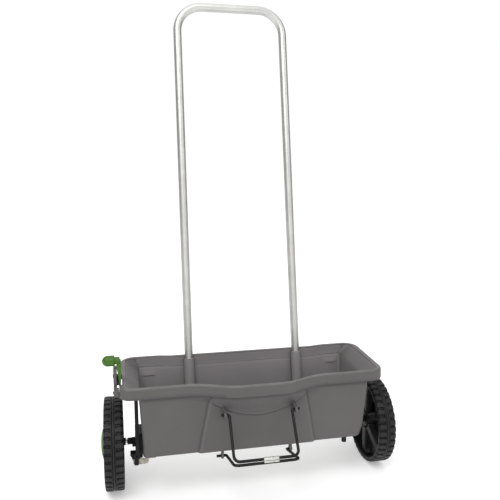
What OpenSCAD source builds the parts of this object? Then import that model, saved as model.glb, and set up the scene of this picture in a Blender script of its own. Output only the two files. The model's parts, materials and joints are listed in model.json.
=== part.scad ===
// Push-along drop spreader for lawn feed, seed and grit.
// Frame: X runs along the hopper, -Y is the front with the folding stand, +Y is the handle side, Z is up.
// The origin lies on the floor below the middle of the whole machine. The modules are drawn with
// the wheel axle over Y = 0, and placed() moves them forward so that the origin is central.

/* [Wheels] */
// Rolling radius of both wheels
wheel_r = 100; // [90:1:110]
// Width of each wheel across its tread
wheel_w = 40; // [34:1:44]
// Distance from the middle of the machine to the inner face of each wheel
wheel_in_x = 282; // [280:0.5:286]
// Number of tread blocks in one row
tread_n = 38; // [28:1:44]
// Diameter of the wheel axle
axle_d = 8; // [8:0.5:9]

/* [Hopper] */
// Half of the outside length of the hopper rim
rim_x = 287; // [286:0.5:288]
// Height of the rim above the floor
rim_z = 264; // [262:0.5:266]
// Distance from the axle forward to the side stretches of the rim
rim_front = 103; // [102:0.5:104]
// Distance from the axle back to the rim
rim_rear = 88; // [87:0.5:89]
// How far the middle of the front rim bows forward
rim_bow = 28; // [20:1:30]
// Height of the band that hangs down round the rim
band_h = 24; // [22:0.5:25]
// Thickness of the hopper wall
wall = 3; // [2.5:0.1:3.2]
// Number of drop holes in the hopper floor
drop_n = 19; // [9:2:19]
// Diameter of a drop hole
drop_d = 8; // [6:0.5:8]

/* [Handle] */
// Outside diameter of the handle tube
tube_d = 19; // [18:0.5:19]
// Wall thickness of the handle tube
tube_wall = 0.8; // [0.8:0.1:1.5]
// Half of the distance between the two handle tubes
handle_x = 128.7; // [127:0.1:130]
// Backward lean of the handle
lean = 12.6; // [12:0.1:13]
// Length of handle above the socket mouths, to the middle of the top bar
handle_len = 831; // [700:1:900]
// Distance from the socket mouths to the joint between the lower and upper tubes
joint_up = 347.5; // [300:0.5:380]
// Bend radius of the upper tube, to the middle of the tube
bend_r = 60; // [50:1:64]

/* [Stand] */
// Diameter of the stand wire
wire_d = 6; // [5:0.5:6]
// Half of the distance between the two arms of each wire
wire_x = 67; // [64:0.5:68]

/* [Control] */
// How far the lever turns from shut to fully open, in degrees
lever_turn = 26; // [20:1:26]
// Diameter of the lever's knob
knob_d = 22; // [20:0.5:23]
// Thickness of the metering slide
slide_t = 1.4; // [1:0.1:1.5]

/* [Hidden] */
$fn = 64;

grey = [0.42, 0.40, 0.41];
black = [0.07, 0.07, 0.07];
green = [0.29, 0.48, 0.17];
alloy = [0.78, 0.78, 0.76];
steel = [0.62, 0.62, 0.60];
zinc = [0.72, 0.70, 0.62];

axle_y = -36;
axle_z = wheel_r;
running = 0.05;       // radial gap of a shaft in its bore
clear = 0.3;          // gap between parts that move past each other
band_bottom = rim_z - band_h;

// ---- helpers ----
module placed() { translate([0, axle_y, 0]) children(); }
function clamp01(t) = min(1, max(0, t));
function ease(t) = let (c = clamp01(t)) c * c * (3 - 2 * c);
module along_x(x0, x1, d) { translate([x0, 0, 0]) rotate([0, 90, 0]) cylinder(d = d, h = x1 - x0); }
module along_y(y0, y1, d) { translate([0, y0, 0]) rotate([-90, 0, 0]) cylinder(d = d, h = y1 - y0); }
module box(lo, hi) { translate(lo) cube(hi - lo); }
module mirrored() { children(); mirror([1, 0, 0]) children(); }
// An outline drawn as [y, z] and given thickness from x0 to x1
module yz_plate(x0, x1) { translate([x0, 0, 0]) rotate([90, 0, 90]) linear_extrude(x1 - x0) children(); }
// An outline drawn as [x, z] and given thickness from y0 to y1
module xz_plate(y0, y1) { translate([0, y1, 0]) rotate([90, 0, 0]) linear_extrude(y1 - y0) children(); }
module rounded_rect(lo, hi, r) {
    square_lo = lo + [r, r];
    square_hi = hi - [r, r];
    translate([square_lo[0], lo[1]]) square([square_hi[0] - square_lo[0], hi[1] - lo[1]]);
    translate([lo[0], square_lo[1]]) square([hi[0] - lo[0], square_hi[1] - square_lo[1]]);
    for (x = [square_lo[0], square_hi[0]], y = [square_lo[1], square_hi[1]]) translate([x, y]) circle(r);
}

// ---- hopper ----
trough_x = 242;         // half length of the trough at its foot
mouth_x = 248.5;        // half length of the trough below the rim
front_y = 97;           // front wall under the rim
foot_y = 24;            // half width of the flat floor
foot_z = 76;            // underside of the floor
front_foot_z = 108;     // where the front wall meets the sloping floor
rear_foot_y = 46;       // where the rear wall meets the sloping floor
rear_foot_z = 104;
rear_top_y = 77;        // rear wall under the rim
panel_out = 5;          // how far the front panel stands out from the wall
corner_n = 4;           // steps round each corner of an outline

// Forward bow of the rim, full over the middle and fading to nothing at the sides
function bow(x) = 0.5 + 0.5 * cos(180 * clamp01((abs(x) - 40) / 110));
// Half width of the raised front panel at a height
function panel_half(z) = 127 - 22 * (z - 106) / 119;
// Lower edge of the name area, an arc that hangs between the panel's two peaks
function arc_z(x) = 188 + 37 * clamp01(pow(abs(x) / 104, 2));
// Relief of the front wall: the raised panel, and the bulge above the arc that meets the bowed rim
function relief(x, z) = panel_out * (1 - ease((abs(x) - panel_half(z) + 6) / 12)) * ease((z - 96) / 10)
    + (rim_bow - panel_out) * bow(x) * ease((z - arc_z(x)) / max(8, band_bottom - arc_z(x)));
// The rear rim steps in a little over its middle
function rear_step(x) = 6 * (1 - ease((abs(x) - 165) / 40));

function corner(cx, cy, r, from, z) =
    [for (i = [0:corner_n]) let (a = from + 90 * i / corner_n) [cx + r * cos(a), cy + r * sin(a), z]];
// One closed outline of the hopper at a height; is_rim picks the rim's bow, otherwise the wall's relief.
// The walls keep a tight corner right down at the left end, beside the linkage.
function left_r(r, is_rim) = is_rim ? r : min(r, 9);
function ring(z, xe, yf, yr, r, is_rim) = let (rl = left_r(r, is_rim)) concat(
    [for (x = [-152:19:152]) [x, -yf - (is_rim ? rim_bow * bow(x) : relief(x, z)), z]],
    corner(xe - r, -yf + r, r, -90, z),
    corner(xe - r, yr - r, r, 0, z),
    [for (x = [210:-18:156]) [x, yr - (is_rim ? rear_step(x) : 0), z]],
    [for (x = [-156:-18:-210]) [x, yr - (is_rim ? rear_step(x) : 0), z]],
    corner(-xe + rl, yr - rl, rl, 90, z),
    corner(-xe + rl, -yf + rl, rl, 180, z));

// Wall outline parameters at a height: half length, front, rear and corner radius
function slope_front(z) = foot_y + (z - foot_z) * (front_y - 2 - foot_y) / (front_foot_z - foot_z);
function slope_rear(z) = foot_y + (z - foot_z) * (rear_foot_y - foot_y) / (rear_foot_z - foot_z);
function wall_x(z) = trough_x + (mouth_x - trough_x) * clamp01((z - 130) / (band_bottom - 130));
function wall_front(z) = z < front_foot_z ? slope_front(z) - 2 * ease((z - 100) / 8)
    : front_y - 2 * (1 - ease((z - front_foot_z) / 100)) - 2 * (1 - ease((z - front_foot_z) / 6));
function wall_rear(z) = z < rear_foot_z ? slope_rear(z)
    : rear_foot_y + (rear_top_y - rear_foot_y) * (z - rear_foot_z) / (band_bottom - rear_foot_z);
function wall_corner(z) = 9 + 13 * (1 - ease((z - 112) / 24));
// The foot is drawn in a little where the floor turns up into the walls
function foot_in(z) = z < floor_z ? 4 : 0;
function wall_ring(z, t, lift) = ring(z + lift, wall_x(z) - t - foot_in(z), wall_front(z) - t,
    wall_rear(z) - t, wall_corner(z) - t, false);
// Inside of the sloping floor, lifted off the outside so the slope keeps its thickness
function inner_foot_ring(z) = ring(z + wall, wall_x(z) - wall - foot_in(z), wall_front(z) - 1.2,
    wall_rear(z) - 2, wall_corner(z) - wall, false);

floor_z = foot_z + wall;
outer_heights = [foot_z, floor_z, 96, 104, 108, 112, 124, 160, 188, 200, 212, 225];
skirt = 2.8;            // thickness of the hanging band
module hopper_shell() {
    rings = concat(
        [for (z = outer_heights) wall_ring(z, 0, 0)],
        [ring(band_bottom, mouth_x, front_y, rear_top_y, 9, true)],
        // underside of the flange, then round the hanging band
        [ring(243, 253, 98, 77.5, 14, true)],
        [ring(254, rim_x - skirt - 0.8, rim_front - skirt - 0.5, rim_rear - skirt - 0.5, 31, true)],
        [ring(band_bottom, rim_x - skirt, rim_front - skirt, rim_rear - skirt, 31, true)],
        [ring(band_bottom, rim_x, rim_front, rim_rear, 34, true)],
        [ring(rim_z - 2.5, rim_x - 0.8, rim_front - 0.8, rim_rear - 0.8, 33, true)],
        [ring(rim_z - 0.7, rim_x - 1.8, rim_front - 1.8, rim_rear - 1.8, 32, true)],
        [ring(rim_z, rim_x - 4, rim_front - 4, rim_rear - 4, 30, true)],
        // flat of the rim, then the inside: a shallow dish at each end that drops into the trough
        [ring(rim_z, 276, 95, 79, 21, true)],
        [ring(rim_z - 1.7, 273.5, 93.8, 77.6, 20, true)],
        [ring(258.5, 269.5, 93.4, 76.6, 18, true)],
        [ring(246.5, 251.5, 93.4, 75.4, 11, true)],
        [for (i = [len(outer_heights) - 1:-1:6]) wall_ring(outer_heights[i], wall, 0)],
        [for (z = [108, 104, 96, foot_z]) inner_foot_ring(z)]);
    n = len(rings[0]);
    m = len(rings) - 1;
    // the first and last outlines are closed by fans about a middle point
    polyhedron(
        points = concat([for (r = rings) each r], [[0, 0, rings[0][0][2]], [0, 0, rings[m][0][2]]]),
        faces = concat(
            [for (i = [0:n - 1]) [(m + 1) * n, i, (i + 1) % n]],
            [for (k = [0:m - 1], i = [0:n - 1]) let (j = (i + 1) % n) [k * n + i, k * n + n + i, k * n + n + j]],
            [for (k = [0:m - 1], i = [0:n - 1]) let (j = (i + 1) % n) [k * n + i, k * n + n + j, k * n + j]],
            [for (i = [0:n - 1]) [(m + 1) * n + 1, m * n + (i + 1) % n, m * n + i]]),
        convexity = 6);
}

// ---- places shared by several parts ----
socket_y = 67;          // middle of a socket mouth
socket_z = 259;
socket_d = 25;
socket_deep = 140;
screw_down = 70;        // handle screw, measured down the tube from the socket mouth
module at_handle() { translate([0, socket_y, socket_z]) rotate([-lean, 0, 0]) children(); }

drop_pitch = 24;
drop_x = [for (i = [0:drop_n - 1]) drop_pitch * (i - (drop_n - 1) / 2)];

lug_in = 73.2;          // inner face of the lugs and ears that hold the stand wires
lug_t = 4.6;
leg_pivot = [-86, 91];
leg_tip = [-182, 121];
bail_pivot = [-122, 201];
bail_tip = [-179.5, 127.5];

lever_pivot = [-56, 236];
lever_tilt = 3;         // the lever leans forward a little when shut
lever_len = 76;
shaft_d = 8;
web_x = [263, 273];     // outer-side bearing webs of the lever shaft
web_t = 5;
slot_y = [-72, -18];    // slot through the rim for the lever
stop_r = 40;
stop_angle = 38.5;

crank_arm = 14;         // lever crank, from the shaft to its pin
crank_p = [-264.5, 85]; // bell crank pivot, as [x, z]
crank_q = [-252.5, 85]; // its pin in the link
crank_s = [-258.5, 68]; // its pin in the metering slide
pin_d = 4;
slide_travel = 9.54;    // from shut to fully open

bearing_y = 30;
bearing_z = [70, 126];
bearing_screws_at = [[-22, 85], [-22, 118], [22, 85], [22, 118]];
rail_screw_x = [-192, -96, 0, 96, 192];
rail_screw_y = 23.3;
boss_at = [222, -33];
screw_d = 3;
quadrant_screws_at = [[-76, 249], [-14, 249]];

// ---- sub-parts ----
module lug_plate(pivot, top) {
    mirrored() yz_plate(lug_in, lug_in + lug_t) {
        translate(pivot) circle(6.5);
        polygon(top);
    }
}

module hopper() color(grey) placed() difference() {
    union() {
        hopper_shell();
        // handle sockets, half sunk in the rear wall
        at_handle() mirrored() translate([handle_x, 0, -socket_deep - 12]) cylinder(d = socket_d, h = socket_deep + 11);
        // lugs under the floor for the stand leg, and ears on the panel for its bail
        lug_plate(leg_pivot, [[-92.5, 91], [-79.5, 91], [-79.5, 103.5], [-92.5, 106.8]]);
        lug_plate(bail_pivot, [[-99.5, 214], [-121, 207.5], [-121, 194.5], [-99.5, 186]]);
        // webs under the left flange that carry the lever shaft
        for (i = [0, 1]) box([-web_x[i] - web_t, lever_pivot[0] - 10, 228], [-web_x[i], lever_pivot[0] + 10, 251 + 5 * i]);
    }
    for (x = drop_x) translate([x, 0, foot_z - 1]) cylinder(d = drop_d, h = wall + 3);
    mirrored() translate([0, 0, axle_z]) along_x(230, 260, 16);
    mirrored() for (p = bearing_screws_at) translate([0, p[0], p[1]]) along_x(230, 250, 4);
    at_handle() mirrored() translate([handle_x, 0, -socket_deep]) cylinder(d = tube_d + 0.2, h = socket_deep + 14);
    at_handle() mirrored() translate([handle_x, 0, -screw_down]) along_y(8, 20, 5);
    translate([0, leg_pivot[0], leg_pivot[1]]) along_x(-90, 90, wire_d + 2 * running);
    translate([0, bail_pivot[0], bail_pivot[1]]) along_x(-90, 90, wire_d + 2 * running);
    translate([0, lever_pivot[0], lever_pivot[1]]) along_x(-282, -258, shaft_d + 2 * running);
    box([-rim_x - 4, slot_y[0], 226], [-279.5, slot_y[1], rim_z + 2]);
    for (p = quadrant_screws_at) translate([0, p[0], p[1]]) along_x(-rim_x - 1, -rim_x + 4, screw_d + 0.1);
    for (x = rail_screw_x, s = [-1, 1]) translate([x, s * rail_screw_y, foot_z - 1]) cylinder(d = screw_d + 0.1, h = 3.6);
    translate([boss_at[0], boss_at[1], foot_z]) cylinder(d = screw_d + 0.1, h = 12);
}

// A stretch of handle tube and a quarter bend, both drawn hollow
module tube(h) difference() {
    cylinder(d = tube_d, h = h);
    translate([0, 0, -1]) cylinder(d = tube_d - 2 * tube_wall, h = h + 2);
}
module tube_bend() {
    rotate([90, 0, 0]) rotate_extrude(angle = 90) translate([bend_r, 0]) difference() {
        circle(d = tube_d);
        circle(d = tube_d - 2 * tube_wall);
    }
}
neck_d = tube_d - 2 * tube_wall - 0.2;
neck_len = 40;
button_up = joint_up + neck_len / 2;

module handle_upper() color(alloy) placed() at_handle() difference() {
    union() {
        mirrored() {
            translate([handle_x, 0, joint_up + 0.2]) tube(handle_len - bend_r - joint_up - 0.2);
            translate([handle_x - bend_r, 0, handle_len - bend_r]) tube_bend();
        }
        translate([-(handle_x - bend_r), 0, handle_len]) rotate([0, 90, 0]) tube(2 * (handle_x - bend_r));
    }
    mirrored() translate([handle_x, 0, button_up]) along_y(3, 12, 6.2);
}

module handle_lower() color(alloy) placed() at_handle() translate([handle_x, 0, 0]) difference() {
    union() {
        translate([0, 0, 2 - socket_deep]) cylinder(d = tube_d, h = joint_up + socket_deep - 2);
        translate([0, 0, joint_up]) cylinder(d = neck_d, h = neck_len);
    }
    translate([0, 0, 1 - socket_deep]) cylinder(d = tube_d - 2 * tube_wall, h = joint_up + socket_deep - 6);
    translate([0, 0, joint_up - 6]) cylinder(d = neck_d - 2 * tube_wall, h = neck_len + 7);
    translate([0, 0, button_up]) along_y(3, 12, 6.2);
    translate([0, 0, -screw_down]) along_y(3, 12, 5);
}
module handle_lower_left() mirror([1, 0, 0]) handle_lower();
module handle_lower_right() handle_lower();

// Sprung buttons that lock the two lengths of handle together, one in each joint, facing the user
module snap_buttons() color(steel) placed() at_handle() mirrored() translate([handle_x, 0, button_up]) {
    along_y(5.4, 10, 5.8);
    translate([0, 8.4, 0]) intersection() { sphere(d = 6.4); along_y(0, 4, 5.8); }
    box([-2, 4.9, -16], [2, 5.9, 6]);
}

module handle_screws() color(steel) placed() at_handle() mirrored() translate([handle_x, 0, -screw_down]) {
    along_y(4.5, 15, 4.8);
    along_y(14.9, 17.4, 9.5);
}

module axle() color(steel) placed() translate([0, 0, axle_z]) difference() {
    along_x(-319, 319, axle_d);
    translate([-312, 0, -axle_d]) cylinder(d = pin_d + 0.1, h = 2 * axle_d);
}

// Moulded rotor on the axle: a sleeve with a peg over every drop hole, each a quarter turn from the last
module agitator() color(black) placed() translate([0, 0, axle_z]) difference() {
    union() {
        along_x(-222, 222, 14);
        for (i = [0:drop_n - 1]) translate([drop_x[i], 0, 0]) rotate([90 * (i % 2), 0, 0]) cylinder(d = 5, h = 36, center = true);
    }
    along_x(-223, 223, axle_d + 0.1);
}

module drive_pin() color(steel) placed() translate([-312, 0, axle_z - 14]) cylinder(d = pin_d, h = 28);

module wheel_washers() color(steel) placed() translate([0, 0, axle_z]) mirrored() difference() {
    along_x(276.4, 277.8, 18);
    along_x(276, 279, axle_d + 0.2);
}

module push_nuts() color(steel) placed() translate([0, 0, axle_z]) mirrored() difference() {
    union() {
        along_x(316.3, 317.4, 17);
        along_x(317.3, 318.6, 12);
    }
    along_x(316, 320, axle_d + 0.1);
}

// Wheel, drawn with its axis along +X from its inner face at x = 0
hub_in = 4;             // how far the hub stands out on the inner side
hub_out = 34;
tread_deep = 2.5;
module tread_row(x0, x1, phase) {
    rotate([0, 90, 0]) translate([0, 0, x0]) linear_extrude(x1 - x0) difference() {
        circle(wheel_r, $fn = 160);
        circle(wheel_r - 12, $fn = 120);
        for (i = [0:tread_n - 1]) rotate((i + phase) * 360 / tread_n)
            translate([wheel_r - tread_deep, -1.7]) square([tread_deep + 1, 3.4]);
    }
}
module wheel() {
    rib = 2.2;
    difference() {
        union() {
            intersection() {
                union() {
                    tread_row(0, wheel_w / 2 - rib, 0);
                    tread_row(wheel_w / 2 + rib, wheel_w, 0.5);
                    rotate([0, 90, 0]) translate([0, 0, wheel_w / 2 - rib - 0.5]) cylinder(r = wheel_r - 0.4, h = 2 * rib + 1, $fn = 160);
                }
                rotate([0, 90, 0]) rotate_extrude($fn = 160) polygon([
                    [wheel_r - 12, 0], [wheel_r - 3.2, 0], [wheel_r - 0.9, 1.4], [wheel_r, 4], [wheel_r, wheel_w - 4],
                    [wheel_r - 0.9, wheel_w - 1.4], [wheel_r - 3.2, wheel_w], [wheel_r - 12, wheel_w]]);
            }
            // web with six spokes on each side of it
            along_x(18, 22, 2 * wheel_r - 20);
            for (i = [0:5]) rotate([60 * i, 0, 0]) box([4, -9, 17], [36, 9, wheel_r - 11]);
            along_x(3, hub_out, 38);
            along_x(-hub_in, 3.5, 16);
            along_x(20, 38.5, 64);
        }
        along_x(24, 40, 58);
        along_x(-hub_in - 1, hub_out + 6, axle_d + 2 * running);
    }
    // the hub goes on through the cap's seat
    difference() {
        along_x(21, hub_out, 38);
        along_x(20, hub_out + 1, axle_d + 2 * running);
    }
}
module wheel_left() color(black) placed() translate([-wheel_in_x, 0, axle_z]) mirror([1, 0, 0]) difference() {
    wheel();
    // slot that the drive pin sits in
    box([28, -2.1, -14.3], [35, 2.1, 14.3]);
}
module wheel_right() color(black) placed() translate([wheel_in_x, 0, axle_z]) wheel();

// Domed cap that snaps into the ring on the wheel's outer side
module hub_cap() rotate([0, 90, 0]) rotate_extrude($fn = 96) {
    rise = 3.6;
    rim_at = 45;
    polygon(concat(
        [[0, 46.4], [24, 43.6], [27, 42], [27, 30], [28.8, 30], [28.8, 38.7], [32, 38.7], [32, rim_at - 0.8]],
        [for (i = [8:-1:0]) let (r = 31.4 * i / 8) [r, rim_at + rise * (1 - pow(r / 31.4, 2))]]));
}
module hub_cap_left() color(green) placed() translate([-wheel_in_x, 0, axle_z]) mirror([1, 0, 0]) hub_cap();
module hub_cap_right() color(green) placed() translate([wheel_in_x, 0, axle_z]) hub_cap();

// Moulded end bearing: a walled plate screwed to the hopper's end, with a long nose for the axle
bearing_in = 242.1;
bearing_out = 257;
module bearing() difference() {
    union() {
        yz_plate(bearing_in, bearing_in + 4) rounded_rect([-bearing_y, bearing_z[0]], [bearing_y, bearing_z[1]], 8);
        yz_plate(bearing_in + 3.9, bearing_out) difference() {
            rounded_rect([-bearing_y, bearing_z[0]], [bearing_y, bearing_z[1]], 8);
            rounded_rect([-bearing_y + 2.6, bearing_z[0] + 2.6], [bearing_y - 2.6, bearing_z[1] - 2.6], 5.4);
        }
        translate([0, 0, axle_z]) {
            along_x(238.6, bearing_in + 1, 15.7);
            along_x(bearing_in + 1, 264, 16);
            along_x(263.9, 274.3, 14.6);
        }
        // rib from the nose out to the walls, and a foot under the nose
        box([bearing_in + 3.9, -28, 98.6], [256, 28, 101.4]);
        box([bearing_in + 3.9, -6, 88.5], [263.5, 6, 98]);
    }
    translate([0, 0, axle_z]) along_x(237, 276, axle_d + 2 * running);
    for (p = bearing_screws_at) translate([0, p[0], p[1]]) along_x(240, 250, 4.1);
}
module bearing_left() color(black) placed() difference() {
    union() {
        mirror([1, 0, 0]) bearing();
        // ear that holds the bell crank's pivot
        xz_plate(-bearing_y, -bearing_y + 4) polygon([[-268.4, 80], [-268.4, 91], [-255, 91], [-255, 73], [-263, 73]]);
    }
    translate([crank_p[0], 0, crank_p[1]]) along_y(-31, -25, pin_d + 0.1);
}
module bearing_right() color(black) placed() bearing();

module bearing_screws() color(steel) placed() mirrored() for (p = bearing_screws_at) translate([0, p[0], p[1]]) {
    along_x(235, 247, 3.9);
    along_x(246.2, 248.6, 7.6);
}

// Lever: hub, arm that widens upward, and a capsule-shaped knob that reaches outward over the quadrant
arm_out = 287;
neck_x = -294;
module at_lever() { translate([0, lever_pivot[0], lever_pivot[1]]) rotate([lever_tilt, 0, 0]) children(); }
// Solid of revolution with a rounded far end, its axis along +Z
module knob(r, h) {
    rotate_extrude() polygon(concat(
        [[0, 0], [r - 1.5, 0], [r, 1.5]],
        [for (i = [0:8]) let (a = 90 * i / 8) [r * cos(a), h + r * sin(a)]]));
}
module control_lever() color(green) placed() at_lever() difference() {
    union() {
        along_x(-arm_out, -279, 18);
        intersection() {
            yz_plate(-292, -279) polygon([[-8.4, 3], [-5.6, lever_len + 1], [5.6, lever_len + 1], [8.4, 3]]);
            xz_plate(-12, 12) polygon([[-286.6, 3], [-286.6, 30], [-287.8, 46], [-290.4, 60], [-290.6, lever_len + 1],
                [-282, lever_len + 1], [-281.2, lever_len - 10], [-282, 36], [-283, 24], [-283, 3]]);
        }
        translate([0, 0, lever_len]) {
            along_x(neck_x - 1, -284, 15);
            translate([neck_x, 0, 0]) rotate([0, -90, 0]) knob(knob_d / 2, 14.2);
        }
    }
    along_x(-arm_out - 1, -278, shaft_d + 0.1);
}

module lever_shaft() color(steel) placed() translate([0, lever_pivot[0], lever_pivot[1]]) along_x(-288, -257.5, shaft_d);

module lever_crank() color(black) placed() translate([0, lever_pivot[0], lever_pivot[1]]) difference() {
    union() {
        yz_plate(-262, -257.5) {
            circle(7);
            translate([crank_arm, 0]) circle(4.4);
            translate([0, -4.4]) square([crank_arm, 8.8]);
        }
        translate([0, crank_arm, 0]) along_x(-258, -249.4, pin_d);
    }
    along_x(-263, -257, shaft_d + 0.1);
}

// Push rod from the lever crank down to the bell crank, with a slotted eye at each end
link_y = [-44, -40];
link_x = [-256.5, -250];
link_wide = [-257.2, -249.2];
link_top = lever_pivot[1];
link_eye_y = lever_pivot[0] + crank_arm - 0.7;
module slot2d(len, d) {
    translate([-len / 2, -d / 2]) square([len, d]);
    for (s = [-1, 1]) translate([s * len / 2, 0]) circle(d = d);
}
module control_link() color(black) placed() difference() {
    union() {
        box([link_wide[0], link_y[0], 80], [link_wide[1], link_y[1], 223]);
        box([link_x[0], link_y[0], 222], [link_x[1], link_y[1], link_top]);
        yz_plate(link_x[0], link_x[1]) rounded_rect([link_eye_y - 8.5, link_top - 5.5], [link_eye_y + 8.5, link_top + 4.2], 4);
        xz_plate(link_y[0], link_y[1]) {
            rounded_rect([-260.6, 64.6], [-251, 90], 2);
            rounded_rect([-260, 78.5], [-247.5, 92], 4);
        }
    }
    yz_plate(link_x[0] - 1, link_x[1] + 1) translate([link_eye_y, link_top]) slot2d(2.4, pin_d + 0.6);
    xz_plate(link_y[0] - 1, link_y[1] + 1) translate([crank_q[0] - 0.8, crank_q[1]]) slot2d(2.6, pin_d + 0.6);
}

module bar2d(a, b, w) {
    d = b - a;
    translate(a) rotate(atan2(d[1], d[0])) translate([0, -w / 2]) square([norm(d), w]);
}
module bell_crank() color(black) placed() difference() {
    union() {
        xz_plate(-34.5, -31) {
            translate(crank_p) circle(4.2);
            translate(crank_q) circle(4);
            translate(crank_s) circle(4);
            bar2d(crank_p, crank_q, 7);
            bar2d(crank_p, crank_s, 7);
        }
        translate([crank_q[0], 0, crank_q[1]]) along_y(-44.6, -32, pin_d);
        translate([crank_s[0], 0, crank_s[1]]) along_y(-38.6, -32, pin_d);
    }
    translate([crank_p[0], 0, crank_p[1]]) along_y(-36, -30, pin_d + 2 * running);
}

module bell_crank_pin() color(steel) placed() translate([crank_p[0], 0, crank_p[1]]) {
    along_y(-35, -26, pin_d);
    along_y(-36.4, -34.9, 7);
}

// Metering slide: a pierced strip under the floor, with an ear turned down at its left end
slide_y = 20;
slide_top = foot_z - clear;
slide_x = [-231, 236];
ear_y = -37;
module metering_slide() color(zinc) placed() difference() {
    union() {
        box([slide_x[0], -slide_y, slide_top - slide_t], [slide_x[1], slide_y, slide_top]);
        box([slide_x[0], ear_y, slide_top - slide_t], [-214, -slide_y, slide_top]);
        xz_plate(ear_y, ear_y + slide_t) polygon([[-262.8, slide_top], [-262.8, 65.5], [-260, 62.5], [-236, 62.5],
            [-231.6, 64.2], [-229.6, 68], [-229, 73], [-224, slide_top]]);
    }
    for (x = drop_x) translate([x + slide_travel, 0, slide_top - slide_t - 1]) cylinder(d = drop_d + 1, h = slide_t + 2);
    xz_plate(ear_y - 1, ear_y + slide_t + 1) translate([crank_s[0], crank_s[1] - 0.5]) rotate(90) slot2d(1.8, pin_d + 0.6);
}

// L-shaped rails that carry the edges of the slide
rail_bottom = 72.5;
rail_top = foot_z - 0.05;
module rail(side, x0, x1) {
    yz_plate(x0, x1) mirror([side < 0 ? 1 : 0, 0]) polygon([[17, rail_bottom], [26, rail_bottom], [26, rail_top],
        [slide_y + 0.5, rail_top], [slide_y + 0.5, slide_top - slide_t - clear], [17, slide_top - slide_t - clear]]);
}
module rail_holes(side) {
    for (x = rail_screw_x) translate([x, side * rail_screw_y, rail_bottom - 1]) cylinder(d = screw_d + 0.1, h = 6);
}
module slide_rail_front() color(black) placed() difference() {
    union() {
        rail(-1, -212, 236);
        box([boss_at[0] - 5.5, boss_at[1], rail_bottom], [boss_at[0] + 5.5, -25, rail_top]);
        translate([boss_at[0], boss_at[1], 64.5]) cylinder(d = 11, h = 13);
    }
    rail_holes(-1);
    translate([boss_at[0], boss_at[1], 60]) cylinder(d = screw_d + 0.1, h = 20);
}
module slide_rail_rear() color(black) placed() difference() {
    rail(1, -236, 236);
    rail_holes(1);
}
module rail_screws() color(steel) placed() {
    for (x = rail_screw_x, s = [-1, 1]) translate([x, s * rail_screw_y, 0]) {
        translate([0, 0, rail_bottom - 1.6]) cylinder(d = 5.4, h = 1.6);
        translate([0, 0, rail_bottom - 0.1]) cylinder(d = screw_d, h = 5.9);
    }
    translate([boss_at[0], boss_at[1], 0]) {
        translate([0, 0, 62.9]) cylinder(d = 6, h = 1.6);
        translate([0, 0, 64.4]) cylinder(d = screw_d, h = 18);
    }
}

// Quadrant outside the rim, with the arc slot for the rate stop
plate_x = [-297.5, -291.5];
quadrant_r = 60;
foot_h = [band_bottom, 258];
module quadrant_outline() {
    intersection() {
        translate(lever_pivot) circle(quadrant_r, $fn = 96);
        translate([-66, foot_h[0]]) square([56, 60]);
    }
    rounded_rect([-80, foot_h[0]], [-10, foot_h[1]], 3);
}
module arc_slot() {
    lo = stop_angle - 0.6;
    hi = stop_angle + 12.6;
    translate(lever_pivot) {
        intersection() {
            difference() { circle(stop_r + 2.8); circle(stop_r - 2.8); }
            polygon([[0, 0], 60 * [sin(lo), cos(lo)], 60 * [sin(hi), cos(hi)]]);
        }
        for (a = [lo, hi]) translate(stop_r * [sin(a), cos(a)]) circle(2.8);
    }
}
module setting_quadrant() color(grey) placed() difference() {
    union() {
        yz_plate(plate_x[0], plate_x[1]) difference() {
            quadrant_outline();
            arc_slot();
        }
        for (y = [[-80, slot_y[0] - 0.3], [slot_y[1] + 0.3, -10]])
            box([plate_x[1] - 0.1, y[0], foot_h[0]], [-rim_x - 0.05, y[1], foot_h[1]]);
    }
    for (p = quadrant_screws_at) translate([0, p[0], p[1]]) along_x(-302, -280, screw_d + 0.1);
}
module quadrant_screws() color(steel) placed() for (p = quadrant_screws_at) translate([0, p[0], p[1]]) {
    along_x(plate_x[0] - 1.5, plate_x[0], 6);
    along_x(plate_x[0] - 0.5, -283, screw_d);
}

// Stop that sets how far the lever opens the slide
module rate_stop() color(black) placed()
    translate([0, lever_pivot[0] + stop_r * sin(stop_angle), lever_pivot[1] + stop_r * cos(stop_angle)]) {
        along_x(plate_x[0] - 2.1, plate_x[0] - clear, 8.6);
        along_x(plate_x[0] - 1.5, -282, 5);
        along_x(plate_x[1] + clear, -288.2, 8.4);
    }

// Wire bent to a U: feet that turn outward on the pivot line y = 0, arms, and a cross bar at y = len
foot_bend = 5;
tip_bend = 12;
module wire_bend(r) { rotate_extrude(angle = 90) translate([r, 0]) circle(d = wire_d); }
module wire_u(len, foot_l, foot_r) {
    mirrored() {
        translate([wire_x, foot_bend, 0]) rotate([-90, 0, 0]) cylinder(d = wire_d, h = len - foot_bend - tip_bend);
        translate([wire_x + foot_bend, foot_bend, 0]) rotate(180) wire_bend(foot_bend);
        translate([wire_x - tip_bend, len - tip_bend, 0]) wire_bend(tip_bend);
    }
    translate([0, len, 0]) along_x(tip_bend - wire_x, wire_x - tip_bend, wire_d);
    along_x(-foot_l, -wire_x - foot_bend, wire_d);
    along_x(wire_x + foot_bend, foot_r, wire_d);
}
module place_wire(pivot, tip) {
    d = tip - pivot;
    translate([0, pivot[0], pivot[1]]) rotate([atan2(d[1], d[0]), 0, 0]) children();
}
module stand_leg() color(black) placed() place_wire(leg_pivot, leg_tip) wire_u(norm(leg_tip - leg_pivot), 88, 80);
module stand_bail() color(black) placed() place_wire(bail_pivot, bail_tip) wire_u(norm(bail_tip - bail_pivot), 84, 83);

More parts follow.
